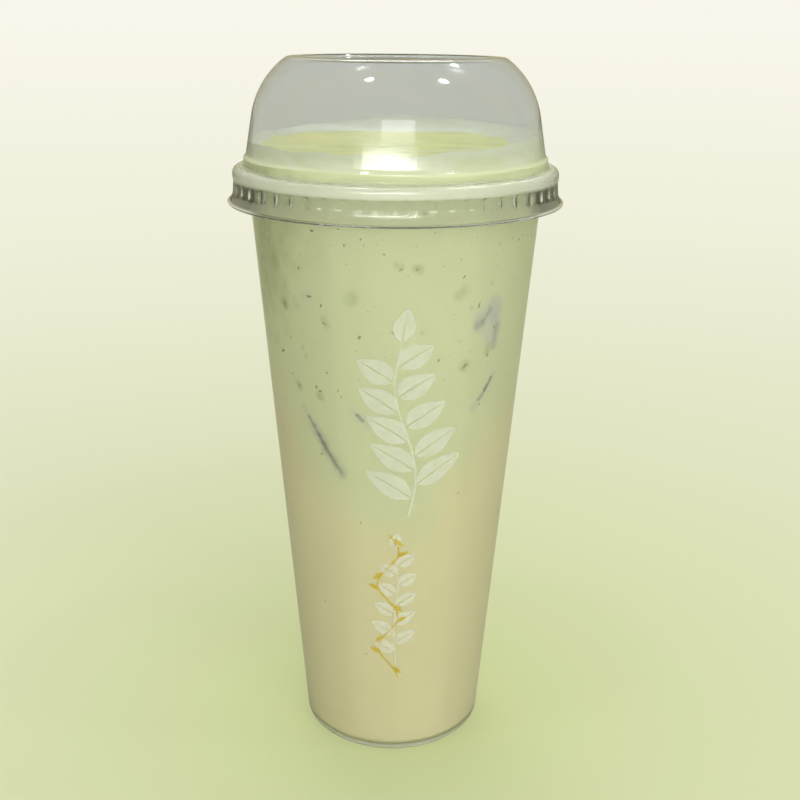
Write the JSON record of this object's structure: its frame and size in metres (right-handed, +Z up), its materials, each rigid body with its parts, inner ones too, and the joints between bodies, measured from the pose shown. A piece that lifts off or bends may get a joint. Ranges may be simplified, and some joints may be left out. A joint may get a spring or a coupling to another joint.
{
  "type": "pistachio milk tea",
  "caption": "Pistachio milk tea in a tall clear tapered takeaway cup with a press-on dome lid: beige milk tea under a green pistachio layer, cream and sauce up in the dome.",
  "frame": {"origin": "centre of the cup's foot, on the surface it stands on", "axes": "+Z up along the cup's axis; -Y is the front, where the print is"},
  "size_m": [0.0958, 0.0958, 0.2073],
  "materials": {
    "cup_plastic": "clear injection-moulded plastic, glossy",
    "lid_plastic": "clear thermoformed plastic, glossy",
    "milk_tea": "opaque milky drink, pale beige",
    "pistachio_foam": "opaque creamy drink, pale pistachio green with fine specks",
    "cream_cap": "thick whipped cream, pale green-white, smeared up the wall",
    "pistachio_sauce": "smooth glossy sauce, yellow-green"
  },
  "bodies": {
    "root": {"cup": "cup_plastic", "lid": "lid_plastic", "milk_tea": "milk_tea", "pistachio_foam": "pistachio_foam", "cream_cap": "cream_cap", "pistachio_sauce": "pistachio_sauce"}
  },
  "joints": []
}
